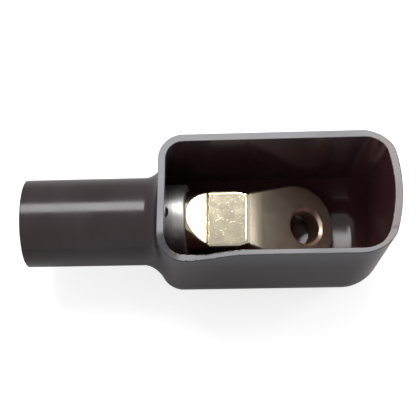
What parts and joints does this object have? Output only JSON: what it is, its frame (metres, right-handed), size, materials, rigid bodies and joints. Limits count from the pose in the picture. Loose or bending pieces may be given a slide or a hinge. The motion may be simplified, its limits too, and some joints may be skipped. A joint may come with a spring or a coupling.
{
  "type": "insulated cable lug",
  "caption": "Cable lug with a round crimp barrel and a bent brass palm, held in an open-topped moulded boot that tapers to a round cable neck.",
  "frame": {"origin": "centre of the crimp barrel's mouth, where the stripped conductor goes in", "axes": "+X from the cable end to the hood, +Z out of the hood's opening, +Y across"},
  "size_m": [0.0975, 0.0322, 0.0418],
  "materials": {
    "boot": "soft moulded, slightly glossy, dark",
    "barrel": "turned, dull",
    "palm": "pressed, fine sandy grain"
  },
  "bodies": {
    "root": {"insulating_boot": "boot", "crimp_barrel": "barrel", "lug_palm": "palm"}
  },
  "joints": []
}
